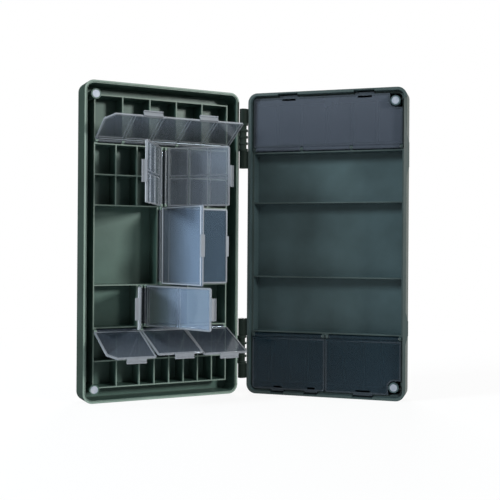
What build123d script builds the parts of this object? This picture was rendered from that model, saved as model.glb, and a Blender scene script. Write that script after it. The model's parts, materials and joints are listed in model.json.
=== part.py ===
from build123d import *
import math
import os

# Case: x across, y along the hinge, z out of the tray; the hinge axis is x = 0, z = 0 and the rims lie at z = 0
CASE_H = 355.0
HALF_W = 186.3
AXIS_GAP = 5.7
HALF_T = 30.0
FLOOR_T = 2.0
WALL_T = 3.2
CORNER_R = 11.0
BACK_CUT = 3.0
RIM_GAP = 0.15
OPEN_BASE = 26.25
OPEN_LID = 16.6
OUT_U = AXIS_GAP + HALF_W

# Cells
CELL_T = 1.4
GUTTER_HINGE = 10.6
GUTTER_FORE = 8.3
GUTTER_LOW = 12.8
GUTTER_TOP = 11.8
BLOCK_U = (AXIS_GAP + WALL_T + GUTTER_HINGE, OUT_U - WALL_T - GUTTER_FORE)
BLOCK_V = (WALL_T + GUTTER_LOW, CASE_H - WALL_T - GUTTER_TOP)
ROW1_D = 50.5
ROW5_D = 62.8
MID_SHIFT = 0.25
ROW4_SHIFT = 23.5
LID_END = 6.9
UPPER_D = 53.7
LOWER_D = 56.8
BASE_TOP = -3.4
LID_TOP = -8.4
LID_LEDGE = 2.6

# Small lids: axis height over the wall tops, plate, border, seal rings and clips
LID_SEAT = 0.2
PLATE_T = 1.4
BORDER_W = 2.0
BORDER_T = 0.6
RING_GAP = 0.55
RING_W = 0.9
RING_H = 1.0
LID_SIDE = 0.4
CLIP_GAP = 0.5
CLIP_T = 1.4
CLIP_DROP = 4.4
CLIP_LIP = 1.3
CLIP_FOOT = 1.2
CLIP_SMALL = 15.0
CLIP_MID = 22.0
CLIP_WIDE = 24.0
CLIP_SHIFT = 4.0
SLOT_ARM = 3.0
SLOT_IN = 4.0
SLOT_W = 2.2
CORNER_CUT = 1.5
AXIS_UP = LID_SEAT + PLATE_T / 2

# Small hinges: round pins in many-sided barrels and ears, to keep facets few
BARREL_SIDES = 8
BORE_SIDES = 6
PIN_R = 1.0
RUN_FIT = 0.05
BARREL_R = 2.1
EAR_W = 3.0
EAR_GAP = 0.4
EAR_IN = 1.8
PLATE_Y0 = 2.8
CHANNEL = 3.8

# Case hinge
CASE_PIN_R = 1.5
KNUCKLE_R = 4.6
CORE_R = 3.6
FIN_R = 5.2
FIN_N = 5
FIN_W = 2.6
KNUCKLE_SIDES = 12
WEB_T = 4.2
WEB_TOP = -0.4
KNUCKLES = (18.0, 35.0, 68.0, 88.5)
KNUCKLE_GAP = 0.3

# Magnets
MAG_R = 4.2
MAG_T = 3.0
MAG_WALL = 1.5
BOSS_SIDES = 16
MAG_FIT = 0.1
MAG_TOP = -0.6
MAG_CLEAR = 1.0
MAG_IN = 13.0
MAG_END = 15.0
MAG_UV = (OUT_U - MAG_IN, MAG_END)

# Lift lips on the fore edge of the case lid
LIP_OUT = 2.5
LIP_T = 5.6
LIP_SLOPE = 10.0
LIP_UP = (53.0, 100.0)
LIP_LOW = (64.0, 100.0)
LIPS = ((CASE_H - LIP_UP[1], CASE_H - LIP_UP[0]), LIP_LOW)
BEVEL_DROP = 2.0
BEVEL_END = 12.0

# Notches in the case lid's rim that clear its lids' clips
NOTCH_SIDE = 1.0
NOTCH_IN = 1.6
NOTCH_LOW = 0.8
LID_RIM = 2.2
LID_EDGE = 0.9

GROOVE_IN = 1.9
GROOVE_W = 1.0
GROOVE_D = 1.0


def span_box(x, y, z):
    """A box from three (low, high) pairs."""
    size = [abs(b - a) for a, b in (x, y, z)]
    return Pos(*[(a + b) / 2 for a, b in (x, y, z)]) * Box(*size)


def rounded_prism(x, y, z, r):
    """A prism with rounded upright corners from three (low, high) pairs."""
    w, h = abs(x[1] - x[0]), abs(y[1] - y[0])
    face = RectangleRounded(w, h, min(r, w / 2 - 0.05, h / 2 - 0.05))
    return Pos((x[0] + x[1]) / 2, (y[0] + y[1]) / 2, min(z)) * extrude(face, abs(z[1] - z[0]))


def hinge_cylinder(a, b, r):
    """A cylinder from a to b on the case hinge's axis."""
    return Pos(0, (a + b) / 2, 0) * Rot(90, 0, 0) * Cylinder(r, b - a)


def hinge_bar(a, b, r):
    """A many-sided bar from a to b on the case hinge's axis, with its flats at r."""
    face = RegularPolygon(r, KNUCKLE_SIDES, major_radius=False)
    return Pos(0, b, 0) * Rot(90, 0, 0) * extrude(face, b - a)


def bar_along(a, b, r, sides):
    """A many-sided bar from a to b along X, with its flats at r."""
    face = Plane.YZ * RegularPolygon(r, sides, major_radius=False)
    return Pos(a, 0, 0) * extrude(face, b - a)


def grid(u_edges, v_edges):
    """Cells between wall centre lines, as (u0, u1, v0, v1)."""
    t = CELL_T / 2
    return [
        (u0 + t, u1 - t, v0 + t, v1 - t)
        for u0, u1 in zip(u_edges, u_edges[1:])
        for v0, v1 in zip(v_edges, v_edges[1:])
    ]


def between(a, b, *parts):
    """Points at the given fractions of the way from a to b."""
    return [a + (b - a) * part for part in parts]


def split(a, b, n):
    """Edges of n equal cells from a to b."""
    return between(a, b, *[i / n for i in range(n + 1)])


class Hinge:
    """A small lid's hinge line and the cells it covers, in the half's (u, v) plane."""

    def __init__(self, name, turn, at, along, ears, reach, cells, clips, angle, cuts=(), ends=None):
        self.name = name
        self.turn = turn
        self.at = at
        self.along = along
        self.ears = ears
        self.reach = reach
        self.cells = cells
        self.clips = clips
        self.angle = angle
        self.cuts = cuts
        self.ends = ends or along


# Wall centre lines of the base
T2 = CELL_T / 2
B_U = (BLOCK_U[0] + T2, BLOCK_U[1] - T2)
B_V = (BLOCK_V[0] + T2, BLOCK_V[1] - T2)
ROW1_AXIS = BLOCK_V[1] - ROW1_D
ROW5_AXIS = BLOCK_V[0] + ROW5_D
ROW34_V, ROW23_V = between(ROW5_AXIS, ROW1_AXIS, 0.2411, 0.66065)
MID_U = sum(BLOCK_U) / 2 - MID_SHIFT
ROW4_U = MID_U + ROW4_SHIFT
PAIR = 2.75
R1 = (ROW1_AXIS + CHANNEL, B_V[1])
R2 = (ROW23_V, ROW1_AXIS - CHANNEL)
R3 = (ROW34_V, ROW23_V)
R4 = (ROW5_AXIS + CHANNEL, ROW34_V)
R5 = (B_V[0], ROW5_AXIS - CHANNEL)
MID_W = (MID_U - PAIR - CHANNEL, MID_U + PAIR + CHANNEL)
R4_W = (ROW4_U - PAIR - CHANNEL, ROW4_U + PAIR + CHANNEL)
R5_U = split(*B_U, 3)

# Wall centre lines of the case lid
C_U = (AXIS_GAP + WALL_T + LID_LEDGE - T2, OUT_U - WALL_T - LID_LEDGE + T2)
C_V = (WALL_T + LID_LEDGE + LID_END, CASE_H - WALL_T - LID_LEDGE - LID_END)
UP_AXIS = C_V[1] - UPPER_D
LOW_AXIS = C_V[0] + LOWER_D
C_BAYS = between(LOW_AXIS, UP_AXIS, 0.31356, 0.712)
C_UP = (UP_AXIS + CHANNEL, C_V[1])
C_LOW = (C_V[0], LOW_AXIS - CHANNEL)


def base_hinges():
    """The ten lids of the base."""
    row1 = grid(split(*B_U, 5), R1)
    row2l = grid(split(MID_W[1], B_U[1], 3), split(*R2, 2))
    row2r = grid(split(B_U[0], MID_W[0], 3), split(*R2, 2))
    row3l = grid((MID_W[1], B_U[1]), R3)
    row3r = grid((B_U[0], MID_W[0]), R3)
    row4l = grid((R4_W[1], B_U[1]), R4)
    row4r = grid(split(B_U[0], R4_W[0], 2), R4)
    row5 = [grid(split(R5_U[i], R5_U[i + 1], 3 if i < 2 else 2), split(*R5, 2)) for i in range(3)]
    left, right, up, down = 90, -90, 0, 180
    row1_ears = [B_U[0] + EAR_IN] + split(*B_U, 5)[1:-1] + [B_U[1] - EAR_IN]
    fore = BLOCK_U[1]
    near = BLOCK_U[0]

    e2, e3, e4 = [(lo + EAR_IN, hi - EAR_IN) for lo, hi in (R2, R3, R4)]
    c2, c3, c4 = [[((lo + hi) / 2, CLIP_WIDE)] for lo, hi in (R2, R3, R4)]
    c1 = [(u, CLIP_MID) for u in between(*B_U, 0.268, 0.675)]
    hinges = [
        Hinge("row1", up, ROW1_AXIS, BLOCK_U, row1_ears, BLOCK_V[1] - ROW1_AXIS, row1, c1, 62.0, ["fore"]),
        Hinge("row2_left", left, MID_U + PAIR, R2, e2, fore - MID_U - PAIR, row2l, c2, 58.5),
        Hinge("row2_right", right, MID_U - PAIR, R2, e2, MID_U - PAIR - near, row2r, c2, 44.0),
        Hinge("row3_left", left, MID_U + PAIR, R3, e3, fore - MID_U - PAIR, row3l, c3, 105.0),
        Hinge("row3_right", right, MID_U - PAIR, R3, e3, MID_U - PAIR - near, row3r, c3, 0.0),
        Hinge("row4_left", left, ROW4_U + PAIR, R4, e4, fore - ROW4_U - PAIR, row4l, c4, 70.0),
        Hinge("row4_right", right, ROW4_U - PAIR, R4, e4, ROW4_U - PAIR - near, row4r, c4, 66.0),
    ]
    names = ("row5_right", "row5_mid", "row5_left")
    angles = (67.8, 70.0, 67.2)
    for i, (name, angle) in enumerate(zip(names, angles)):
        a, b = R5_U[i] - (T2 if i == 0 else 0), R5_U[i + 1] + (T2 if i == 2 else 0)
        ears = [a + EAR_IN + T2 * (i == 0), b - EAR_IN - T2 * (i == 2)]
        hinges.append(Hinge(name, down, ROW5_AXIS, (a, b), ears, ROW5_AXIS - BLOCK_V[0], row5[i],
                            [((a + b) / 2 - CLIP_SHIFT, CLIP_MID)], angle, ["fore"] if i == 2 else []))
    return hinges


def lid_hinges():
    """The three lids of the case lid."""
    up, down = 0, 180
    u0, u1 = AXIS_GAP + WALL_T + LID_EDGE, OUT_U - WALL_T - LID_EDGE
    ends = (u0 + LID_EDGE, u1 - LID_EDGE)
    out = EAR_W / 2 + LID_EDGE
    cols = split(*C_U, 8)
    top = grid(split(*C_U, 6), C_UP)
    low_l = grid(cols[:5], C_LOW)
    low_r = grid(cols[4:], C_LOW)
    mid = cols[4]
    ears_up = [u0 + out, split(*C_U, 3)[1], split(*C_U, 3)[2], u1 - out]
    reach_up = CASE_H - WALL_T - LID_RIM - UP_AXIS
    reach_low = LOW_AXIS - WALL_T - LID_RIM
    clips = between(*C_U, 0.2425, 0.752, 0.1774, 0.4067)
    return [
        Hinge("upper", up, UP_AXIS, ends, ears_up, reach_up, top, [(u, CLIP_MID) for u in clips[:2]], 0.0,
              ["magnet"]),
        Hinge("lower_left", down, LOW_AXIS, (ends[0], mid), [u0 + out, mid - out], reach_low, low_l,
              [(u, CLIP_SMALL) for u in clips[2:]], 0.0),
        Hinge("lower_right", down, LOW_AXIS, (mid, ends[1]), [mid + out, u1 - out], reach_low, low_r,
              [(clips[1], CLIP_MID)], 0.0, ["magnet"]),
    ]


def hinge_spot(h, side, top):
    """Location of a lid's own frame (X along its axis, Y across the shut lid) in the half's frame."""
    if h.turn in (0, 180):
        return Pos(0, h.at, top + AXIS_UP) * Rot(0, 0, h.turn)
    return Pos(side * h.at, 0, top + AXIS_UP) * Rot(0, 0, h.turn)


def to_lid(h, side, u, v):
    """A point of the half's plane in a lid's own X and Y."""
    x, y = side * u, v
    if h.turn == 0:
        return x, y - h.at
    if h.turn == 180:
        return -x, h.at - y
    if h.turn == 90:
        return y, side * h.at - x
    return -y, x - side * h.at


def along_lid(h, side, value):
    """A position along the hinge line in the lid's own X."""
    if h.turn in (0, 180):
        return to_lid(h, side, value, 0)[0]
    return to_lid(h, side, 0, value)[0]


def hinge_range(h, side, ends):
    """Two positions along the hinge line, lowest first in the lid's own X."""
    return sorted(along_lid(h, side, e) for e in ends)


def corner_bite(x, y, fore_x):
    """The corner that a lid leaves clear round a magnet boss at (x, y)."""
    r = MAG_R + MAG_WALL + MAG_CLEAR
    out = 2 * r if fore_x > x else -2 * r
    bite = Pos(x, y) * RegularPolygon(r, BOSS_SIDES, major_radius=False)
    for dx, dy in ((-out / 2, 0), (0, -r)):
        pts = [(x + dx, y + dy), (x + out, y + dy), (x + out, y + 2 * r), (x + dx, y + 2 * r)]
        bite += make_face(Polyline(*pts, close=True))
    return bite


def make_lid(h, side):
    """A smoked lid with its barrels, seal rings, border and clips, shut, in its own frame."""
    x0, x1 = hinge_range(h, side, h.ends)
    x0 += LID_SIDE
    x1 -= LID_SIDE
    reach = h.reach
    half = PLATE_T / 2
    corners = [(x0, PLATE_Y0), (x1, PLATE_Y0), (x1, reach), (x0, reach)]
    outline = make_face(Polyline(*corners, close=True))
    round_edges = [v for v in outline.vertices() if v.Y > reach - 1]
    if "fore" in h.cuts:
        fore_x = along_lid(h, side, BLOCK_U[1])
        cut = [v for v in round_edges if abs(v.X - fore_x) < 2]
        mag_v = MAG_UV[1] if h.turn == 180 else CASE_H - MAG_UV[1]
        mag_x, mag_y = to_lid(h, side, MAG_UV[0], mag_v)
        past = abs(abs(fore_x - mag_x) - LID_SIDE) + reach - mag_y
        outline = chamfer(cut, (MAG_R + MAG_WALL + MAG_CLEAR) * math.sqrt(2) + past)
        round_edges = [v for v in outline.vertices() if v.Y > reach - 1 and abs(v.X - fore_x) > 20]
    outline = chamfer(round_edges, CORNER_CUT)
    if "magnet" in h.cuts:
        mag_v = MAG_UV[1] if h.turn == 180 else CASE_H - MAG_UV[1]
        outline -= corner_bite(*to_lid(h, side, MAG_UV[0], mag_v), along_lid(h, side, OUT_U))
        outline = outline.faces().sort_by(SortBy.AREA)[-1]
    border = outline - offset(outline, -BORDER_W)
    lid = Pos(0, 0, -half) * extrude(outline, PLATE_T) + Pos(0, 0, half) * extrude(border, BORDER_T)
    rings = []
    for u0, u1, v0, v1 in h.cells:
        a, b = to_lid(h, side, u0, v0), to_lid(h, side, u1, v1)
        xs, ys = sorted((a[0], b[0])), sorted((a[1], b[1]))
        out = [(xs[0] + RING_GAP, xs[1] - RING_GAP), (ys[0] + RING_GAP, ys[1] - RING_GAP)]
        inn = [(p + RING_W, q - RING_W) for p, q in out]
        zs = (-half - RING_H, -half)
        rings.append(span_box(*out, zs) - span_box(*inn, zs))
    if "magnet" in h.cuts or "fore" in h.cuts:
        keep = Pos(0, 0, -half - RING_H) * extrude(offset(outline, -0.8), RING_H)
        rings = [r & keep for r in rings]
    lid = lid + rings
    ears = hinge_range(h, side, (h.ears[0], h.ears[-1]))
    stops = sorted(along_lid(h, side, e) for e in h.ears)
    reach_x = EAR_W / 2 + EAR_GAP
    bars = []
    slots = []
    for a, b in zip(stops, stops[1:]):
        bars.append(bar_along(a + reach_x, b - reach_x, BARREL_R, BARREL_SIDES))
        bars.append(span_box((a + reach_x, b - reach_x), (0, PLATE_Y0 + 0.2), (-half, half)))
    for centre, width in h.clips:
        c = along_lid(h, side, centre)
        xs = (c - width / 2, c + width / 2)
        y0 = reach + CLIP_GAP
        bars.append(span_box(xs, (reach - 1.5, y0 + CLIP_T), (-half, half + BORDER_T)))
        bars.append(span_box(xs, (y0, y0 + CLIP_T), (-CLIP_DROP, half)))
        bars.append(span_box(xs, (y0 + CLIP_T, y0 + CLIP_T + CLIP_LIP), (-CLIP_DROP, -CLIP_DROP + CLIP_FOOT)))
        if side > 0:
            slot_x = (xs[0] + SLOT_ARM, xs[1] - SLOT_ARM)
            slots.append(span_box(slot_x, (reach - SLOT_IN, reach - SLOT_IN + SLOT_W), (-half, half + BORDER_T)))
    lid = lid + bars
    lid -= [bar_along(ears[0], ears[1], PIN_R + RUN_FIT, BORE_SIDES)] + slots
    return lid.solids().sort_by(SortBy.VOLUME)[-1]


def make_pin(h, side):
    """A lid's hinge pin in the lid's own frame, reaching through both end ears."""
    a, b = hinge_range(h, side, (h.ears[0], h.ears[-1]))
    length = b - a + EAR_W
    return Pos((a + b) / 2, 0, 0) * Rot(0, 90, 0) * Cylinder(PIN_R, length)


def ear_set(h, side, top):
    """The ears that carry a lid's pin, with their bores, in the half's frame."""
    spot = hinge_spot(h, side, top)
    ears = []
    bores = []
    for e in h.ears:
        x = along_lid(h, side, e)
        ear = bar_along(x - EAR_W / 2, x + EAR_W / 2, BARREL_R, BARREL_SIDES)
        foot = span_box((x - EAR_W / 2, x + EAR_W / 2), (-BARREL_R, BARREL_R), (-AXIS_UP - 4, 0))
        ears.append(spot * (ear + foot))
        bores.append(spot * bar_along(x - EAR_W / 2 - EAR_GAP, x + EAR_W / 2 + EAR_GAP, PIN_R, BORE_SIDES))
    return ears, bores


def channel_cells(h):
    """Pockets of a hinge channel between its ears, as (u0, u1, v0, v1); a pair of lids shares its left lid's."""
    cells = []
    half = CHANNEL - T2
    for a, b in zip(h.ears, h.ears[1:]):
        lo, hi = sorted((a, b))
        run = (lo + EAR_W / 2, hi - EAR_W / 2)
        if h.turn in (0, 180):
            cells.append((*run, h.at - half, h.at + half))
        elif h.turn == 90:
            cells.append((h.at - 2 * PAIR - half, h.at + half, *run))
    return cells


def shell(side, wall_inner):
    """The outer tray of a half: walls, floor, rounded back edges."""
    us = (side * AXIS_GAP, side * OUT_U)
    xs = (min(us), max(us))
    body = rounded_prism(xs, (0, CASE_H), (-HALF_T, -RIM_GAP), CORNER_R)
    body = chamfer(body.faces().sort_by(Axis.Z)[0].edges(), BACK_CUT)
    inner_x = (xs[0] + WALL_T, xs[1] - WALL_T)
    inner_y = (WALL_T, CASE_H - WALL_T)
    body -= rounded_prism(inner_x, inner_y, (wall_inner, 1), CORNER_R - WALL_T)
    if wall_inner > -HALF_T + FLOOR_T:
        deep_x = (inner_x[0] + LID_LEDGE, inner_x[1] - LID_LEDGE)
        deep_y = (inner_y[0] + LID_LEDGE, inner_y[1] - LID_LEDGE)
        body -= rounded_prism(deep_x, deep_y, (-HALF_T + FLOOR_T, 1), CORNER_R - WALL_T - LID_LEDGE)
    return body


def knuckles(side, owned):
    """Case hinge knuckles of one half: owned is 'mid' for the base and 'ends' for the case lid."""
    a, b, c, d = KNUCKLES
    spans = []
    for flip in (False, True):
        runs = [(b, c)] if owned == "mid" else [(a, b - KNUCKLE_GAP), (c + KNUCKLE_GAP, d)]
        for lo, hi in runs:
            spans.append((CASE_H - hi, CASE_H - lo) if flip else (lo, hi))
    solids = []
    bores = []
    fit = 0.0 if owned == "mid" else RUN_FIT
    for lo, hi in spans:
        xs = sorted((0, side * (AXIS_GAP + 1.5)))
        solids.append(span_box(xs, (lo, hi), (WEB_TOP - WEB_T, WEB_TOP)))
        if owned == "mid":
            solids.append(hinge_bar(lo, hi, CORE_R))
            pitch = (hi - lo - FIN_W) / (FIN_N - 1)
            for i in range(FIN_N):
                y = lo + pitch * i
                solids.append(hinge_bar(y, y + FIN_W, FIN_R))
        else:
            solids.append(hinge_bar(lo, hi, KNUCKLE_R))
        bores.append(hinge_bar(lo - 0.2, hi + 0.2, CASE_PIN_R + fit))
    return solids, bores


def magnet_spots(side):
    """Centres of the two magnets of a half."""
    u, v = MAG_UV
    return [(side * u, v), (side * u, CASE_H - v)]


def bosses(side):
    """Magnet bosses and their pockets."""
    solids = []
    pockets = []
    for x, y in magnet_spots(side):
        low = -HALF_T + FLOOR_T - 0.5
        boss = RegularPolygon(MAG_R + MAG_WALL, BOSS_SIDES)
        hole = RegularPolygon(MAG_R + MAG_FIT, BOSS_SIDES, major_radius=False)
        solids.append(Pos(x, y, low) * extrude(boss, MAG_TOP - low))
        pockets.append(Pos(x, y, MAG_TOP - MAG_T) * extrude(hole, MAG_T + 1))
    return solids, pockets


def magnets(side):
    """The two disc magnets of a half, flush with their bosses."""
    discs = []
    for x, y in magnet_spots(side):
        discs.append(Pos(x, y, MAG_TOP - MAG_T) * extrude(Circle(MAG_R), MAG_T - 0.2))
    return discs


def pockets(side, cells, top, low=-HALF_T + FLOOR_T):
    """Prisms that cut cells out of a block."""
    return [
        span_box((side * u0, side * u1), (v0, v1), (low, top + 1))
        for u0, u1, v0, v1 in cells
    ]


def make_base():
    """The left half with its five rows of cells."""
    side = -1
    hinges = base_hinges()
    body = shell(side, -HALF_T + FLOOR_T)
    block = span_box((side * BLOCK_U[1], side * BLOCK_U[0]), BLOCK_V, (-HALF_T + FLOOR_T - 0.5, BASE_TOP))
    cells = []
    for h in hinges:
        cells += h.cells
        cells += channel_cells(h)
    block -= pockets(side, cells, BASE_TOP)
    adds = [block]
    cuts = []
    for h in hinges:
        ears, bores = ear_set(h, side, BASE_TOP)
        adds += ears
        cuts += bores
    boss, holes = bosses(side)
    knobs, knob_bores = knuckles(side, "mid")
    body = body + adds + boss + knobs
    body -= cuts + holes + knob_bores
    us = (side * (OUT_U - GROOVE_IN), side * (AXIS_GAP + GROOVE_IN))
    ring_y = (GROOVE_IN, CASE_H - GROOVE_IN)
    zs = (-RIM_GAP - GROOVE_D, 1)
    ring = rounded_prism(us, ring_y, zs, CORNER_R - GROOVE_IN)
    inner = (us[0] + GROOVE_W, us[1] - GROOVE_W), (ring_y[0] + GROOVE_W, ring_y[1] - GROOVE_W)
    ring -= rounded_prism(*inner, zs, CORNER_R - GROOVE_IN - GROOVE_W)
    return body - ring


def clip_notches(hinges, side):
    """Cuts in the case lid's ledge and rim behind each clip."""
    z = (LID_TOP + AXIS_UP - CLIP_DROP - NOTCH_LOW, 1)
    cuts = []
    for h in hinges:
        start = h.reach + CLIP_GAP / 2
        end = h.reach + LID_RIM + NOTCH_IN
        turn = 1 if h.turn == 0 else -1
        v = sorted((h.at + turn * start, h.at + turn * end))
        for centre, width in h.clips:
            u = (side * (centre - width / 2 - NOTCH_SIDE), side * (centre + width / 2 + NOTCH_SIDE))
            cuts.append(span_box(u, v, z))
    return cuts


def fore_bevel():
    """The wedge that slopes the case lid's fore rim and lips outwards."""
    x0, x1 = OUT_U - WALL_T, OUT_U + LIP_OUT + 1
    z0 = -RIM_GAP
    z1 = z0 - BEVEL_DROP / WALL_T * (x1 - x0)
    face = Plane.XZ * make_face(Polyline((x0, z0), (x1, z1), (x1, 1), (x0, 1), close=True))
    return Pos(0, CASE_H - BEVEL_END, 0) * extrude(face, CASE_H - 2 * BEVEL_END)


def make_case_lid():
    """The right half with its three open bays, two lidded zones and lift lips."""
    side = 1
    hinges = lid_hinges()
    body = shell(side, LID_TOP)
    z = (-HALF_T + FLOOR_T - 0.5, LID_TOP)
    us = (C_U[0] - T2, C_U[1] + T2)
    blocks = []
    for h, (lo, hi) in ((hinges[0], (UP_AXIS - CHANNEL - T2, C_V[1] + T2)),
                        (hinges[1], (C_V[0] - T2, LOW_AXIS + CHANNEL + T2))):
        block = span_box(us, (lo, hi), z)
        group = [g for g in hinges if g.at == h.at]
        cells = []
        for g in group:
            cells += g.cells + channel_cells(g)
        blocks.append(block - pockets(side, cells, LID_TOP))
    for v in C_BAYS:
        blocks.append(span_box(us, (v - T2, v + T2), z))
    cuts = []
    for h in hinges:
        ears, bores = ear_set(h, side, LID_TOP)
        blocks += ears
        cuts += bores
    for lo, hi in LIPS:
        pts = [(OUT_U - 1, lo), (OUT_U, lo), (OUT_U + LIP_OUT, lo + LIP_SLOPE),
               (OUT_U + LIP_OUT, hi - LIP_SLOPE), (OUT_U, hi), (OUT_U - 1, hi)]
        lip = extrude(make_face(Polyline(*pts, close=True)), LIP_T)
        blocks.append(Pos(0, 0, -RIM_GAP - LIP_T) * lip)
    boss, holes = bosses(side)
    knobs, knob_bores = knuckles(side, "ends")
    body = body + blocks + boss + knobs
    return body - (cuts + holes + knob_bores + clip_notches(hinges, side) + [fore_bevel()])


def case_pins():
    """The two pins of the case hinge."""
    a, d = KNUCKLES[0] + 0.5, KNUCKLES[-1] - 0.5
    return [hinge_cylinder(lo, hi, CASE_PIN_R) for lo, hi in ((a, d), (CASE_H - d, CASE_H - a))]


def collect():
    """Every node by name, as lists of solids standing on the short end."""
    upright = Rot(90, 0, 0)
    left = Rot(0, 0, OPEN_BASE) * upright
    right = Rot(0, 0, -OPEN_LID) * upright
    nodes = {
        "base_shell": [left * make_base()],
        "case_lid_shell": [right * make_case_lid()],
        "case_hinge_pins": [left * p for p in case_pins()],
        "base_magnets": [left * m for m in magnets(-1)],
        "case_lid_magnets": [right * m for m in magnets(1)],
    }
    for hinges, side, place, top in ((base_hinges(), -1, left, BASE_TOP), (lid_hinges(), 1, right, LID_TOP)):
        for h in hinges:
            spot = place * hinge_spot(h, side, top)
            nodes[h.name + "_lid"] = [spot * Rot(h.angle, 0, 0) * make_lid(h, side)]
            nodes[h.name + "_pin"] = [spot * make_pin(h, side)]
    return nodes


def main():
    """Builds every node, centres the object over the origin and writes the files."""
    os.makedirs("parts", exist_ok=True)
    nodes = collect()
    box = Compound(children=[s for solids in nodes.values() for s in [Compound(solids)]]).bounding_box()
    centre = Pos(-(box.min.X + box.max.X) / 2, -(box.min.Y + box.max.Y) / 2, -box.min.Z)
    print("shift", centre.position.X, centre.position.Y, centre.position.Z)
    print("size", box.size.X, box.size.Y, box.size.Z)
    for name, solids in nodes.items():
        moved = [centre * s for s in solids]
        shape = moved[0] if len(moved) == 1 else Compound(moved)
        export_step(shape, os.path.join("parts", name + ".step"))


main()
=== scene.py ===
"""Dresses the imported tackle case: green shells, smoked clip-down lids, steel pins and magnets."""

import json
import logging
import math
from dataclasses import dataclass, field
from enum import Enum
from typing import Any, Union

import bpy
import numpy as np
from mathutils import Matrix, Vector

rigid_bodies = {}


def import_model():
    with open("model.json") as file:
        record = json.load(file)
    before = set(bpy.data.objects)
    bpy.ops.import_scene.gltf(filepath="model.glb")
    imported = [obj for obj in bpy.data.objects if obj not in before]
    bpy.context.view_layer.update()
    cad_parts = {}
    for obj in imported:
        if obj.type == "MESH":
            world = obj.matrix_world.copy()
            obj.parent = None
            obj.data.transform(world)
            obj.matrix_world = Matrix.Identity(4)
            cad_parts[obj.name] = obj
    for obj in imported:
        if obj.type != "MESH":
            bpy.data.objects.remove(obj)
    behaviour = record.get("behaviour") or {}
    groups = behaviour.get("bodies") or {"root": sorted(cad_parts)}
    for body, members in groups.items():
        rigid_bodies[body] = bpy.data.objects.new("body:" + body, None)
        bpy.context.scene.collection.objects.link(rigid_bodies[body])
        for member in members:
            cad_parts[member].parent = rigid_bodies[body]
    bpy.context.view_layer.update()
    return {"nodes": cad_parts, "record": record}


LOG = logging.getLogger("tackle_case")
Colour = tuple[float, float, float]
Limits = tuple[float, float]
Stops = tuple[tuple[float, float], ...]
Value = Union["Sock", float, tuple]

MM_PER_M = 1000
NORMAL_STEPS = 50  # normals closer than one step count as the same plane
FLAT = 0.95  # least cosine between a face and the plate that it lies along
FACING = 0.5  # least cosine between a face and the direction that it looks in
PLATE_LEVELS = 2  # a plate has two large levels, its front and its back
MEAN = 0.5  # the middle of a noise value
WHITE: Colour = (1.0, 1.0, 1.0)
UNSTRETCHED: Colour = (1.0, 1.0, 1.0)


class Half(Enum):
    """The two halves of the case."""

    BASE = "base"
    CASE_LID = "case_lid"


class Look(Enum):
    """How a smoked lid looks.

    All lids are one smoked plastic, coloured per look for the light that its lids catch. Most lids
    of the base are clear. Two raised ones carry a painted bluish reflection, the shut one is slate
    and those of the last row are dense. On the case lid the upper lid carries a paler painted
    reflection, the others are deep, a painted shade.
    """

    CLEAR = "clear"
    FROSTED = "frosted"
    DENSE = "dense"
    DEEP = "deep"
    HAZY = "hazy"
    SLATE = "slate"

    @classmethod
    def of(cls, name: str, parent: str) -> "Look":
        """Chooses the look of a lid.

        Args:
            name: The lid's body.
            parent: The half that carries it.

        Returns:
            The look.
        """
        if parent == Half.CASE_LID.value:
            return cls.HAZY if name == "upper" else cls.DEEP
        if name in ("row3_left", "row4_right"):
            return cls.FROSTED
        if name == "row3_right":
            return cls.SLATE
        return cls.DENSE if name.startswith("row5") else cls.CLEAR


@dataclass(frozen=True)
class Noise:
    """A noise pattern in object coordinates: cycles per metre, octaves and what each one keeps."""

    scale: float
    detail: float
    rough: float
    stretch: Colour = UNSTRETCHED


class Sock:
    """A shader socket with the arithmetic operators that the finishes use."""

    def __init__(self, graph: "Graph", socket: Any) -> None:
        """Wraps a socket.

        Args:
            graph: The graph that new nodes go into.
            socket: The socket.
        """
        self.graph = graph
        self.socket = socket

    def _math(self, operation: str, a: Value, b: Value) -> "Sock":
        """Adds a Math node.

        Args:
            operation: The Math node's operation.
            a: First value or socket.
            b: Second value or socket.

        Returns:
            The node's result.
        """
        return self.graph.node("ShaderNodeMath", {"operation": operation}, {0: a, 1: b})

    def __add__(self, other: Value) -> "Sock":
        """Sum."""
        return self._math("ADD", self, other)

    def __radd__(self, other: Value) -> "Sock":
        """Reflected sum."""
        return self._math("ADD", other, self)

    def __sub__(self, other: Value) -> "Sock":
        """Difference."""
        return self._math("SUBTRACT", self, other)

    def __mul__(self, other: Value) -> "Sock":
        """Product."""
        return self._math("MULTIPLY", self, other)

    def clamp(self, limits: Limits) -> "Sock":
        """Keeps this value between two limits.

        Args:
            limits: Least and greatest value.

        Returns:
            The limited value.
        """
        low, high = limits
        return self.graph.node("ShaderNodeClamp", {}, {"Value": self, "Min": low, "Max": high})


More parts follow.
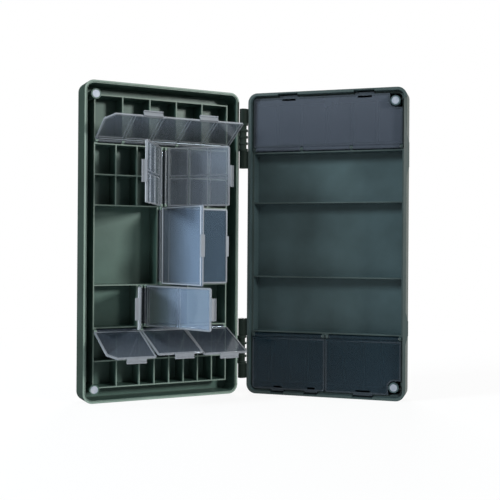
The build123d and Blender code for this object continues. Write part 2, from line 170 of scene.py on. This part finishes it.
class Graph:
    """The node graph of one material or world."""

    def __init__(self, tree: bpy.types.NodeTree) -> None:
        """Empties the tree.

        Args:
            tree: The node tree to draw in.
        """
        self.tree = tree
        tree.nodes.clear()

    def node(
        self, kind: str, settings: dict[str, Any], inputs: dict[Any, Value], out: Any = 0
    ) -> Sock:
        """Adds a node.

        Args:
            kind: The node's type.
            settings: Attributes set first; a ramp's stops are given as "stops".
            inputs: Socket names or numbers with values or links.
            out: Name or number of the output to return.

        Returns:
            The output as a socket with operators; an output node has none.
        """
        made = self.tree.nodes.new(kind)
        for key, value in settings.items():
            if key == "stops":
                self._stops(made.color_ramp, value)
            else:
                setattr(made, key, value)
        for key, value in inputs.items():
            self._feed(made.inputs[key], value)
        return Sock(self, made.outputs[out] if len(made.outputs) else None)

    def _feed(self, socket: Any, value: Value) -> None:
        """Links a socket or sets its value.

        Args:
            socket: The input.
            value: A socket to link, or a value; a colour is given without its alpha.
        """
        if isinstance(value, Sock):
            self.tree.links.new(value.socket, socket)
        elif isinstance(value, tuple) and socket.type == "RGBA":
            socket.default_value = (*value, 1.0)
        else:
            socket.default_value = value

    @staticmethod
    def _stops(ramp: Any, stops: Stops) -> None:
        """Sets a grey ramp's stops.

        Args:
            ramp: The node's ramp.
            stops: Position and grey of each stop.
        """
        while len(ramp.elements) < len(stops):
            ramp.elements.new(MEAN)
        for element, (position, grey) in zip(ramp.elements, stops):
            element.position = position
            element.color = (grey, grey, grey, 1.0)

    def place(self) -> Sock:
        """Object coordinates, in metres."""
        return self.node("ShaderNodeTexCoord", {}, {}, "Object")

    def noise(self, pattern: Noise) -> Sock:
        """Noise in object coordinates.

        Args:
            pattern: Its measures.

        Returns:
            The noise value.
        """
        where = self.place()
        if pattern.stretch != UNSTRETCHED:
            inputs = {"Vector": where, "Scale": pattern.stretch}
            where = self.node("ShaderNodeMapping", {}, inputs)
        return self.node("ShaderNodeTexNoise", {}, {
            "Vector": where,
            "Scale": pattern.scale,
            "Detail": pattern.detail,
            "Roughness": pattern.rough,
        })

    def vector(self, operation: str, inputs: dict[Any, Value], out: Any = 0) -> Sock:
        """Adds a Vector Math node.

        Args:
            operation: The node's operation.
            inputs: Its vectors.
            out: The output to return.

        Returns:
            The node's result.
        """
        return self.node("ShaderNodeVectorMath", {"operation": operation}, inputs, out)

    def fade(self, value: Sock, near: float, far: float, ends: Limits = (0.0, 1.0)) -> Sock:
        """A smooth step from one distance to another.

        Args:
            value: The distance.
            near: Where the step begins.
            far: Where it ends.
            ends: The step's first and last value.

        Returns:
            The stepped value.
        """
        return self.node("ShaderNodeMapRange", {"interpolation_type": "SMOOTHSTEP"}, {
            "Value": value,
            "From Min": near,
            "From Max": far,
            "To Min": ends[0],
            "To Max": ends[1],
        })

    def ramp(self, value: Sock, stops: Stops) -> Sock:
        """Passes a value through a grey ramp.

        Args:
            value: The value.
            stops: Position and grey of each stop.

        Returns:
            The ramp's colour.
        """
        return self.node("ShaderNodeValToRGB", {"stops": stops}, {"Fac": value})

    def blend(self, factor: Value, a: Value, b: Value) -> Sock:
        """Mixes two colours.

        Args:
            factor: Share of the second colour.
            a: First colour.
            b: Second colour.

        Returns:
            The mixed colour.
        """
        return self.node("ShaderNodeMix", {"data_type": "RGBA"}, {0: factor, 6: a, 7: b}, 2)

    def bump(self, height: Sock, strength: float, distance: float) -> Sock:
        """Turns a height into a normal.

        Args:
            height: The height.
            strength: How much of the bump shows.
            distance: Height in metres that a value of 1 stands for.

        Returns:
            The normal.
        """
        inputs = {"Height": height, "Strength": strength, "Distance": distance}
        return self.node("ShaderNodeBump", {}, inputs)

    def looked_at(self) -> Sock:
        """1 where the camera, a reflection or a see-through ray looks at the surface, else 0."""
        rays = ("Is Camera Ray", "Is Glossy Ray", "Is Transmission Ray")
        camera, glossy, through = (self.node("ShaderNodeLightPath", {}, {}, ray) for ray in rays)
        return (camera + glossy + through).clamp((0.0, 1.0))

    def surface(self, inputs: dict[str, Value]) -> None:
        """Puts a Principled shader on the output.

        Args:
            inputs: The shader's inputs.
        """
        shader = self.node("ShaderNodeBsdfPrincipled", {}, inputs)
        self.node("ShaderNodeOutputMaterial", {}, {"Surface": shader})


@dataclass(frozen=True)
class Finish:
    """A named finish; its subclasses draw the nodes."""

    name: str

    def material(self) -> bpy.types.Material:
        """The finish as a new material."""
        made = bpy.data.materials.new(self.name)
        made.use_nodes = True
        self.draw(Graph(made.node_tree))
        return made

    def draw(self, graph: Graph) -> None:
        """Draws the finish's nodes.

        Args:
            graph: The material's graph.
        """
        raise NotImplementedError


@dataclass(frozen=True)
class MouldedGreen(Finish):
    """Satin dark green polypropylene with a spark-eroded grain, flow mottling and light scuffs."""

    deep: Colour
    pale: Colour
    rough: float = 0.40
    ior: float = 1.25
    grain: float = 1500.0
    grain_detail: float = 2.0
    mottle: Noise = Noise(22.0, 4.0, 0.55)
    mottle_stops: Stops = ((0.3, 0.0), (0.7, 1.0))
    mottle_gloss: float = 0.16
    mottle_height: float = 0.5
    scuff: Noise = Noise(60.0, 5.0, 0.7, (1.0, 1.0, 9.0))
    scuff_stops: Stops = ((0.56, 0.0), (0.68, 1.0))
    scuff_gloss: float = 0.07
    rough_limits: Limits = (0.2, 0.8)
    bump: float = 0.10
    bump_m: float = 0.0004

    def draw(self, graph: Graph) -> None:
        """Draws mottled colour, uneven gloss and a fine grain.

        Args:
            graph: The material's graph.
        """
        mottle = graph.noise(self.mottle)
        grain = graph.noise(Noise(self.grain, self.grain_detail, MEAN))
        marks = graph.ramp(graph.noise(self.scuff), self.scuff_stops)
        gloss = self.rough + (mottle - MEAN) * self.mottle_gloss + marks * self.scuff_gloss
        height = grain + mottle * self.mottle_height
        graph.surface({
            "Base Color": graph.blend(
                graph.ramp(mottle, self.mottle_stops), self.deep, self.pale),
            "Roughness": gloss.clamp(self.rough_limits),
            "Normal": graph.bump(height, self.bump, self.bump_m),
            "IOR": self.ior,
        })


@dataclass(frozen=True)
class Smoke:
    """Measures of a smoked layer: colour by the hinge and a paler colour far from it, a painted
    reflection, cover, gloss and shine.
    """

    tint: Colour
    far_reflection: Colour
    alpha: float
    rough: float
    shine: float


@dataclass(frozen=True)
class SmokedPlastic(Finish):
    """Smoked polycarbonate, glossy and see-through, with streaks; paler away from its hinge as a
    painted reflection.
    """

    smoke: Smoke
    place: Colour
    axis: Colour
    clear_m: float = 0.008
    hazy_m: float = 0.066
    # A painted bluish tint on every reflection of the lids.
    reflection_tint: Colour = (0.70, 0.86, 1.0)
    streak: Noise = Noise(35.0, 4.0, 0.6, (1.0, 1.0, 0.35))
    streak_tone: float = 0.45
    streak_alpha: float = 0.10
    cloud: Noise = Noise(12.0, 3.0, 0.5)
    cloud_gloss: float = 0.08
    wear: Noise = Noise(2200.0, 3.0, 0.6)
    wear_gloss: float = 0.02
    rough_limits: Limits = (0.05, 0.6)
    alpha_limits: Limits = (0.2, 1.0)
    bump: float = 0.03
    bump_m: float = 0.0008

    def draw(self, graph: Graph) -> None:
        """Draws a streaked tint that grows paler away from the hinge, a painted reflection, uneven
        gloss and cover.

        Args:
            graph: The material's graph.
        """
        smoke = self.smoke
        streak, cloud, wear = (graph.noise(n) for n in (self.streak, self.cloud, self.wear))
        arm = graph.vector("SUBTRACT", {0: graph.place(), 1: self.place})
        across = graph.vector("CROSS_PRODUCT", {0: arm, 1: self.axis})
        reach = graph.vector("LENGTH", {0: across}, "Value")
        # Painted reflection: the colour steps from the tint by the hinge to the paler far colour.
        far_reflection = graph.fade(reach, self.clear_m, self.hazy_m) + (streak - MEAN) * self.streak_tone
        gloss = smoke.rough + (cloud - MEAN) * self.cloud_gloss + (wear - MEAN) * self.wear_gloss
        cover = smoke.alpha + (streak - MEAN) * self.streak_alpha
        graph.surface({
            "Base Color": graph.blend(far_reflection.clamp((0.0, 1.0)), smoke.tint, smoke.far_reflection),
            "Roughness": gloss.clamp(self.rough_limits),
            "Alpha": cover.clamp(self.alpha_limits),
            "Normal": graph.bump(cloud, self.bump, self.bump_m),
            "Specular IOR Level": smoke.shine,
            "Specular Tint": self.reflection_tint,
        })


@dataclass(frozen=True)
class PlatedMetal(Finish):
    """Metal with fine turning or drawing lines and a little tarnish."""

    colour: Colour
    rough: float
    dull: Colour = (0.42, 0.43, 0.44)
    lines: Noise = Noise(900.0, 2.0, 0.6, (1.0, 1.0, 0.05))
    lines_gloss: float = 0.2
    tarnish: Noise = Noise(260.0, 4.0, 0.6)
    tarnish_stops: Stops = ((0.4, 0.0), (0.75, 0.5))
    tarnish_gloss: float = 0.08
    rough_limits: Limits = (0.1, 0.7)
    bump: float = 0.06
    bump_m: float = 0.0002

    def draw(self, graph: Graph) -> None:
        """Draws tarnish, uneven gloss and faint lines.

        Args:
            graph: The material's graph.
        """
        lines, tarnish = graph.noise(self.lines), graph.noise(self.tarnish)
        gloss = self.rough + (lines - MEAN) * self.lines_gloss + tarnish * self.tarnish_gloss
        graph.surface({
            "Base Color": graph.blend(
                graph.ramp(tarnish, self.tarnish_stops), self.colour, self.dull),
            "Metallic": 1.0,
            "Roughness": gloss.clamp(self.rough_limits),
            "Normal": graph.bump(lines, self.bump, self.bump_m),
        })


@dataclass(frozen=True)
class PaleFloor(Finish):
    """Matt white paper."""

    colour: Colour = (0.93, 0.93, 0.93)
    pale: Colour = (0.95, 0.95, 0.95)
    tooth: Noise = Noise(300.0, 2.0, 0.5)
    rough: float = 0.9
    shine: float = 0.1
    near: float = 0.35
    far: float = 0.95
    lift: float = 0.9

    def draw(self, graph: Graph) -> None:
        """Draws paper with a barely visible tooth that fades into the white surround.

        Args:
            graph: The material's graph.
        """
        reach = graph.vector("LENGTH", {0: graph.place()}, "Value")
        paper = graph.node("ShaderNodeBsdfPrincipled", {}, {
            "Base Color": graph.blend(graph.noise(self.tooth), self.colour, self.pale),
            "Roughness": self.rough,
            "Specular IOR Level": self.shine,
            "Alpha": graph.fade(reach, self.near, self.far, (1.0, 0.0)),
        })
        white = graph.node("ShaderNodeEmission", {}, {"Color": WHITE, "Strength": 1.0})
        share = graph.looked_at() * self.lift
        both = graph.node("ShaderNodeMixShader", {}, {0: share, 1: paper, 2: white})
        graph.node("ShaderNodeOutputMaterial", {}, {"Surface": both})


@dataclass
class Piece:
    """A CAD node and its finishes."""

    node: bpy.types.Object
    along: np.ndarray = field(default_factory=lambda: np.array((0.0, 0.0, 1.0)))
    level_mm: float = 0.25
    weld_m: float = 1e-6
    soft_segments: int = 2
    sharp_deg: float = 40.0

    def faces(self) -> tuple[np.ndarray, np.ndarray, np.ndarray]:
        """Faces of the node.

        Returns:
            Normals and centres as rows, and areas.
        """
        polygons = self.node.data.polygons
        normals, centres = (np.zeros(len(polygons) * 3, np.float32) for _ in range(2))
        areas = np.zeros(len(polygons), np.float32)
        polygons.foreach_get("normal", normals)
        polygons.foreach_get("center", centres)
        polygons.foreach_get("area", areas)
        return normals.reshape(-1, 3), centres.reshape(-1, 3), areas

    def axes(self) -> np.ndarray:
        """Finds the node's own directions.

        Returns:
            The normal of the largest flat, the node's long direction and the one across both.
        """
        normals, centres, areas = self.faces()
        offsets = np.sum(normals * centres, axis=1) * MM_PER_M / self.level_mm
        planes = np.round(np.column_stack([normals * NORMAL_STEPS, offsets]))
        where = np.unique(planes, axis=0, return_inverse=True)[1].ravel()
        plate = normals[where == np.argmax(np.bincount(where, areas))].mean(axis=0)
        plate /= np.linalg.norm(plate)
        return np.stack([plate, self.along, np.cross(plate, self.along)])

    def flats(self) -> tuple[np.ndarray, np.ndarray, np.ndarray]:
        """Finds the node's main levels along the plate's normal.

        Returns:
            Which faces lie along the plate, every face's level and the plate's own levels.
        """
        normals, centres, areas = self.faces()
        plate = self.axes()[0]
        along = np.abs(normals @ plate) > FLAT
        level = np.round(centres @ plate * MM_PER_M / self.level_mm).astype(int)
        found, where = np.unique(level[along], return_inverse=True)
        return along, level, found[np.argsort(np.bincount(where, areas[along]))[-PLATE_LEVELS:]]

    def under(self, high: float) -> np.ndarray:
        """Picks faces that stand off the plate on the side where the node reaches farther.

        Args:
            high: How far from the plate a face may lie, in metres.

        Returns:
            True for those faces.
        """
        _, level, largest = self.flats()
        below, above = largest.min() - level, level - largest.max()
        stand = below if below.max() > above.max() else above
        return (stand > 0) & (stand * self.level_mm < high * MM_PER_M)

    def levels(self) -> np.ndarray:
        """Picks rims, borders and wall tops.

        Returns:
            True for faces that lie along the plate at another level than its own.
        """
        along, level, largest = self.flats()
        return along & ~np.isin(level, largest)

    def leaning(self, limits: Limits) -> np.ndarray:
        """Picks faces by how they lie to the plate.

        Args:
            limits: Least and greatest share of the plate's normal in the face's.

        Returns:
            True for the faces between the two.
        """
        lean = np.abs(self.faces()[0] @ self.axes()[0])
        return (lean >= limits[0]) & (lean < limits[1])

    def outer(self, depth: float) -> np.ndarray:
        """Picks faces that look outwards close to the node's own box.

        Args:
            depth: How far inside the box a face may lie, in metres.

        Returns:
            True for those faces.
        """
        normals, centres, _ = self.faces()
        axes = self.axes()
        facing, place = normals @ axes.T, centres @ axes.T
        high = (facing > FACING) & (place > place.max(0) - depth)
        low = (facing < -FACING) & (place < place.min(0) + depth)
        return (high | low).any(axis=1)

    def dress(
        self, body: bpy.types.Material, *groups: tuple[bpy.types.Material, np.ndarray]
    ) -> None:
        """Gives the node its finishes.

        Args:
            body: Finish of most faces.
            groups: Other finishes with the faces that take them; later ones win.
        """
        mesh = self.node.data
        mesh.materials.clear()
        slots = np.zeros(len(mesh.polygons), np.int32)
        for slot, (finish, where) in enumerate([(body, slots == 0), *groups]):
            mesh.materials.append(finish)
            slots[where] = slot
        mesh.polygons.foreach_set("material_index", slots)
        LOG.info("dressed %s", self.node.name)

    def soften(self, width: float) -> None:
        """Rounds the sharp edges a little, so that they catch the light.

        Args:
            width: Width of the rounding in metres.
        """
        weld = self.node.modifiers.new("weld", "WELD")
        weld.merge_threshold = self.weld_m
        bevel = self.node.modifiers.new("soft_edges", "BEVEL")
        bevel.width = width
        bevel.segments = self.soft_segments
        bevel.limit_method = "ANGLE"
        bevel.angle_limit = math.radians(self.sharp_deg)
        bevel.use_clamp_overlap = True


@dataclass
class CaseHalf:
    """One moulded half of the case with its magnets and the pins that it carries."""

    half: Half
    nodes: dict[str, bpy.types.Object]
    finishes: dict[str, bpy.types.Material]
    hinge: np.ndarray
    knuckle_m: float = 0.0065
    rim_m: float = 0.0015
    boss_m: float = 0.0072
    wall_m: float = 0.006
    soft_m: float = 0.0005
    chamfers: Limits = (0.8, FLAT)

    def build(self) -> None:
        """Dresses the half's own nodes."""
        name = self.half.value
        shell = Piece(self.nodes[name + "_shell"])
        parts = ("green", "rim", "wall", "grained")
        green, rim, wall, grained = (self.finishes[f"{name}_{part}"] for part in parts)
        arm = shell.faces()[1] - self.hinge
        # The knuckle faces by the hinge take a near-black green, a painted shade where the halves
        # meet.
        shaded_knuckles = np.linalg.norm(arm[:, :2], axis=1) < self.knuckle_m
        # Rims and wall tops: on the base their finishes are painted paler than the body, a painted
        # highlight where they catch the light.
        tops = shell.levels() | shell.leaning(self.chamfers)
        rims = tops & (np.abs(arm @ shell.axes()[0]) < self.rim_m)
        shell.dress(
            green,
            (grained, shell.outer(self.wall_m)),
            (wall, tops),
            (rim, rims),
            (green, self.bosses(shell)),
            (self.finishes["hinge_green"], shaded_knuckles),
        )
        shell.soften(self.soft_m)
        Piece(self.nodes[name + "_magnets"]).dress(self.finishes["plated"])
        for key in sorted(self.nodes):
            if key.endswith(("_pin", "_pins")):
                Piece(self.nodes[key]).dress(self.finishes["steel"])

    def bosses(self, shell: Piece) -> np.ndarray:
        """Picks the shell's faces round the magnets.

        Args:
            shell: The half's shell.

        Returns:
            True for those faces.
        """
        discs = Piece(self.nodes[self.half.value + "_magnets"]).faces()[1]
        upper = discs[:, 2] > discs[:, 2].mean()
        spots = np.stack([discs[where].mean(axis=0) for where in (upper, ~upper)])
        away = np.linalg.norm(shell.faces()[1][:, None] - spots, axis=2)
        return (away < self.boss_m).any(axis=1)


@dataclass
class InnerLid:
    """A smoked lid that closes some cells, on its hinge."""

    name: str
    node: bpy.types.Object
    joint: dict[str, Any]
    barrel_m: float = 0.004
    ring_m: float = 0.0013
    clip_m: float = 0.003
    soft_m: float = 0.00025
    upright: Limits = (0.0, 0.35)

    def build(self) -> None:
        """Dresses the lid, with its own edges and seal rings away from its barrels."""
        look = Look.of(self.name, self.joint["parent"])
        place, axis = self.joint["pos_m"], self.joint["axis"]
        body, border, ring = (
            SmokedPlastic(self.name + part, smoke, tuple(place), tuple(axis)).material()
            for part, smoke in zip(PARTS, LOOKS[look])
        )
        lid = Piece(self.node, np.array(axis))
        arm = lid.faces()[1] - np.array(place)
        reach = np.linalg.norm(np.cross(arm, lid.along), axis=1)
        raised = (lid.levels() | lid.leaning(self.upright)) & (reach > self.barrel_m)
        rings = raised & lid.under(self.ring_m) & (reach < reach.max() - self.clip_m)
        # On the base's lids the borders and rings take paler colours, a painted highlight.
        lid.dress(body, (border, raised), (ring, rings))
        lid.soften(self.soft_m)


@dataclass(frozen=True)
class Lamp:
    """A soft square lamp: name, place, watts, side in metres, tint and whether it is flagged."""

    name: str
    place: Colour
    power: float
    size: float
    colour: Colour = WHITE
    flagged: bool = False

    def build(self, aim: Colour) -> bpy.types.Object:
        """Adds the lamp.

        Args:
            aim: The point that it looks at.

        Returns:
            The lamp.
        """
        data = bpy.data.lights.new(self.name, "AREA")
        data.energy = self.power
        data.size = self.size
        data.color = self.colour
        lamp = bpy.data.objects.new(self.name, data)
        lamp.location = self.place
        towards = Vector(aim) - Vector(self.place)
        lamp.rotation_euler = towards.to_track_quat("-Z", "Y").to_euler()
        bpy.context.scene.collection.objects.link(lamp)
        return lamp


@dataclass
class Studio:
    """Floor, lights and the camera fitted to the picture."""

    hinge: Colour
    lit: list[bpy.types.Object]
    eye: Colour = (0.008743, -1.00427, 0.169603)
    focal_px: float = 844.912
    frame_px: float = 500.0
    roll_deg: float = 0.398
    sensor_mm: float = 36.0
    clip_m: Limits = (0.05, 60.0)
    aim: Colour = (0.0, 0.0, 0.18)
    floor_r: float = 1.0
    floor_drop: float = 0.0002
    floor_rings: int = 11
    floor_turns: int = 48
    surround: float = 0.10

    def build(self) -> None:
        """Sets the stage."""
        self.floor()
        self.world()
        for lamp in LAMPS:
            made = lamp.build(self.aim)
            if lamp.flagged:
                self.flag(made)
        self.camera()

    def floor(self) -> None:
        """A round paper floor: r and turn on a grid, just below z = 0."""
        row = self.floor_turns + 1
        radii = np.linspace(0.0, self.floor_r, self.floor_rings + 1)
        r, t = np.meshgrid(radii, np.linspace(0, 2 * math.pi, row), indexing="ij")
        points = np.stack([r * np.cos(t), r * np.sin(t), np.zeros_like(r)], -1).reshape(-1, 3)
        cells = np.meshgrid(
            np.arange(self.floor_rings), np.arange(self.floor_turns), indexing="ij")
        first = cells[0].ravel() * row + cells[1].ravel()
        faces = np.stack([first, first + row, first + row + 1, first + 1], -1)
        mesh = bpy.data.meshes.new("floor")
        mesh.from_pydata(points.tolist(), [], faces.tolist())
        mesh.update()
        floor = bpy.data.objects.new("floor", mesh)
        floor.location.z = -self.floor_drop
        mesh.materials.append(PaleFloor("paper").material())
        bpy.context.scene.collection.objects.link(floor)

    def world(self) -> None:
        """A plain pale surround, white where the camera or a reflection looks straight at it."""
        world = bpy.data.worlds.new("surround")
        world.use_nodes = True
        graph = Graph(world.node_tree)
        lit, seen = (
            graph.node("ShaderNodeBackground", {}, {"Color": WHITE, "Strength": strength})
            for strength in (self.surround, 1.0)
        )
        both = graph.node("ShaderNodeMixShader", {}, {0: graph.looked_at(), 1: lit, 2: seen})
        graph.node("ShaderNodeOutputWorld", {}, {"Surface": both})
        bpy.context.scene.world = world

    def flag(self, lamp: bpy.types.Object) -> None:
        """Keeps a lamp off the case lid, as a card beside the lamp would.

        Args:
            lamp: The lamp, which then lights only the nodes in self.lit.
        """
        lit = bpy.data.collections.new(lamp.name + "_lights")
        for node in self.lit:
            lit.objects.link(node)
        lamp.light_linking.receiver_collection = lit

    def camera(self) -> None:
        """A level camera at the fitted place, with the picture's slight roll."""
        data = bpy.data.cameras.new("camera")
        data.sensor_width = self.sensor_mm
        data.lens = self.focal_px / self.frame_px * self.sensor_mm
        data.clip_start, data.clip_end = self.clip_m
        camera = bpy.data.objects.new("camera", data)
        camera.location = Vector(self.hinge) + Vector(self.eye)
        camera.rotation_euler = (math.pi / 2, -math.radians(self.roll_deg), 0.0)
        bpy.context.scene.collection.objects.link(camera)
        bpy.context.scene.camera = camera


FINISHES: tuple[Finish, ...] = (
    MouldedGreen("base_green", (0.038, 0.072, 0.060), (0.058, 0.103, 0.087)),
    # The base's rim and wall-top finishes: several times paler than its body green, a painted
    # highlight on its rims and wall tops.
    MouldedGreen("base_rim", (0.140, 0.196, 0.168), (0.180, 0.244, 0.212), 0.50, 1.30),
    MouldedGreen("base_wall", (0.098, 0.137, 0.116), (0.126, 0.171, 0.148), 0.50, 1.30),
    # The base's grained outer walls, coloured darker than the case lid's as a painted shade.
    MouldedGreen("base_grained", (0.017, 0.027, 0.021), (0.024, 0.037, 0.030), 0.66, 1.07, 900.0),
    # The case lid's body green: the same plastic as the base's, tinted bluer as a painted bluish
    # light on the case lid.
    MouldedGreen("case_lid_green", (0.037, 0.060, 0.064), (0.055, 0.087, 0.093)),
    MouldedGreen("case_lid_rim", (0.036, 0.054, 0.053), (0.050, 0.072, 0.070), 0.46, 1.30),
    MouldedGreen("case_lid_wall", (0.036, 0.054, 0.053), (0.050, 0.072, 0.070), 0.46, 1.30),
    # The case lid's grained outer walls, coloured paler than the base's as a painted sheen, besides
    # the real sheen of its higher IOR.
    MouldedGreen(
        "case_lid_grained", (0.026, 0.041, 0.033), (0.036, 0.055, 0.045), 0.55, 1.50, 900.0),
    # The hinge finish: near-black green on the knuckle faces, a painted shade where the halves
    # meet.
    MouldedGreen("hinge_green", (0.010, 0.016, 0.013), (0.014, 0.022, 0.018), 0.55, 1.15),
    PlatedMetal("plated", (0.24, 0.27, 0.32), 0.72),
    PlatedMetal("steel", (0.55, 0.56, 0.57), 0.30),
)

PARTS = ("_plate", "_edge", "_ring")
# Pale edges of the base's lids: borders and clips paler than their plates, a painted highlight; the
# case lid's lids keep dark edges.
PALE_EDGE = Smoke((0.17, 0.185, 0.205), (0.23, 0.245, 0.27), 0.72, 0.22, 0.5)
DENSE_EDGE = Smoke((0.17, 0.185, 0.205), (0.23, 0.245, 0.27), 0.78, 0.24, 0.4)
DENSE_PLATE = Smoke((0.034, 0.044, 0.060), (0.075, 0.090, 0.112), 0.64, 0.10, 0.35)
SLATE_PLATE = Smoke((0.018, 0.036, 0.058), (0.046, 0.076, 0.112), 0.64, 0.10, 0.35)
# Each look colours the one smoked plastic for the light its lids catch: the bluish plates of the
# two raised base lids are a painted bluish reflection, the upper case-lid lid a paler painted
# reflection, the other case-lid lids a painted shade, and the pale rings of the base's lids a
# painted highlight.
LOOKS: dict[Look, tuple[Smoke, Smoke, Smoke]] = {
    Look.CLEAR: (
        Smoke((0.082, 0.094, 0.108), (0.152, 0.184, 0.232), 0.48, 0.08, 0.8),
        PALE_EDGE,
        Smoke((0.46, 0.48, 0.50), (0.52, 0.54, 0.57), 0.90, 0.30, 0.3),
    ),
    Look.FROSTED: (
        Smoke((0.050, 0.056, 0.066), (0.190, 0.255, 0.355), 0.55, 0.08, 0.8),
        PALE_EDGE,
        Smoke((0.36, 0.38, 0.41), (0.42, 0.45, 0.50), 0.90, 0.30, 0.3),
    ),
    Look.DENSE: (DENSE_PLATE, DENSE_EDGE, DENSE_PLATE),
    Look.SLATE: (SLATE_PLATE, DENSE_EDGE, SLATE_PLATE),
    Look.HAZY: (
        Smoke((0.054, 0.064, 0.083), (0.072, 0.084, 0.106), 0.80, 0.16, 0.25),
        Smoke((0.036, 0.044, 0.054), (0.048, 0.058, 0.070), 0.88, 0.18, 0.3),
        Smoke((0.100, 0.112, 0.125), (0.120, 0.132, 0.146), 0.90, 0.20, 0.3),
    ),
    Look.DEEP: (
        Smoke((0.006, 0.016, 0.023), (0.010, 0.021, 0.030), 0.80, 0.16, 0.25),
        Smoke((0.024, 0.032, 0.040), (0.034, 0.043, 0.052), 0.88, 0.18, 0.3),
        Smoke((0.070, 0.080, 0.090), (0.090, 0.100, 0.110), 0.90, 0.20, 0.3),
    ),
}

RIGHT: Colour = (1.31, -1.08, 0.62)
WARM: Colour = (1.0, 0.99, 0.96)
LAMPS: tuple[Lamp, ...] = (
    Lamp("right", RIGHT, 17.0, 0.26, WARM),
    Lamp("right_twin", RIGHT, 20.0, 0.26, WARM, flagged=True),
    Lamp("left", (-1.45, -0.77, 0.85), 36.0, 0.45, (0.84, 0.94, 1.0)),
    Lamp("side", (-1.39, 0.12, 0.22), 5.0, 0.6, (0.70, 0.85, 1.0)),
    Lamp("back", (0.10, 1.70, 0.80), 24.0, 0.8),
    Lamp("top", (0.3, -0.2, 1.5), 2.0, 0.8),
)


def main() -> None:
    """Loads the frame, dresses every piece and sets the stage."""
    logging.basicConfig(level=logging.INFO)
    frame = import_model()
    bpy.context.scene.view_settings.view_transform = "Standard"
    nodes, behaviour = frame["nodes"], frame["record"]["behaviour"]
    bodies: dict[str, list[str]] = behaviour["bodies"]
    joints = {joint["child"]: joint for joint in behaviour["joints"]}
    hinge = joints.pop(Half.CASE_LID.value)
    finishes = {finish.name: finish.material() for finish in FINISHES}
    for half in Half:
        own = {name: nodes[name] for name in bodies[half.value]}
        CaseHalf(half, own, finishes, np.array(hinge["pos_m"])).build()
    for child, joint in sorted(joints.items()):
        InnerLid(child, nodes[child + "_lid"], joint).build()
    shaded = {child for child, joint in joints.items() if joint["parent"] == Half.CASE_LID.value}
    shaded.add(Half.CASE_LID.value)
    lit = [nodes[name] for body in bodies if body not in shaded for name in bodies[body]]
    Studio((hinge["pos_m"][0], hinge["pos_m"][1], 0.0), lit).build()


if __name__ == "__main__":
    main()
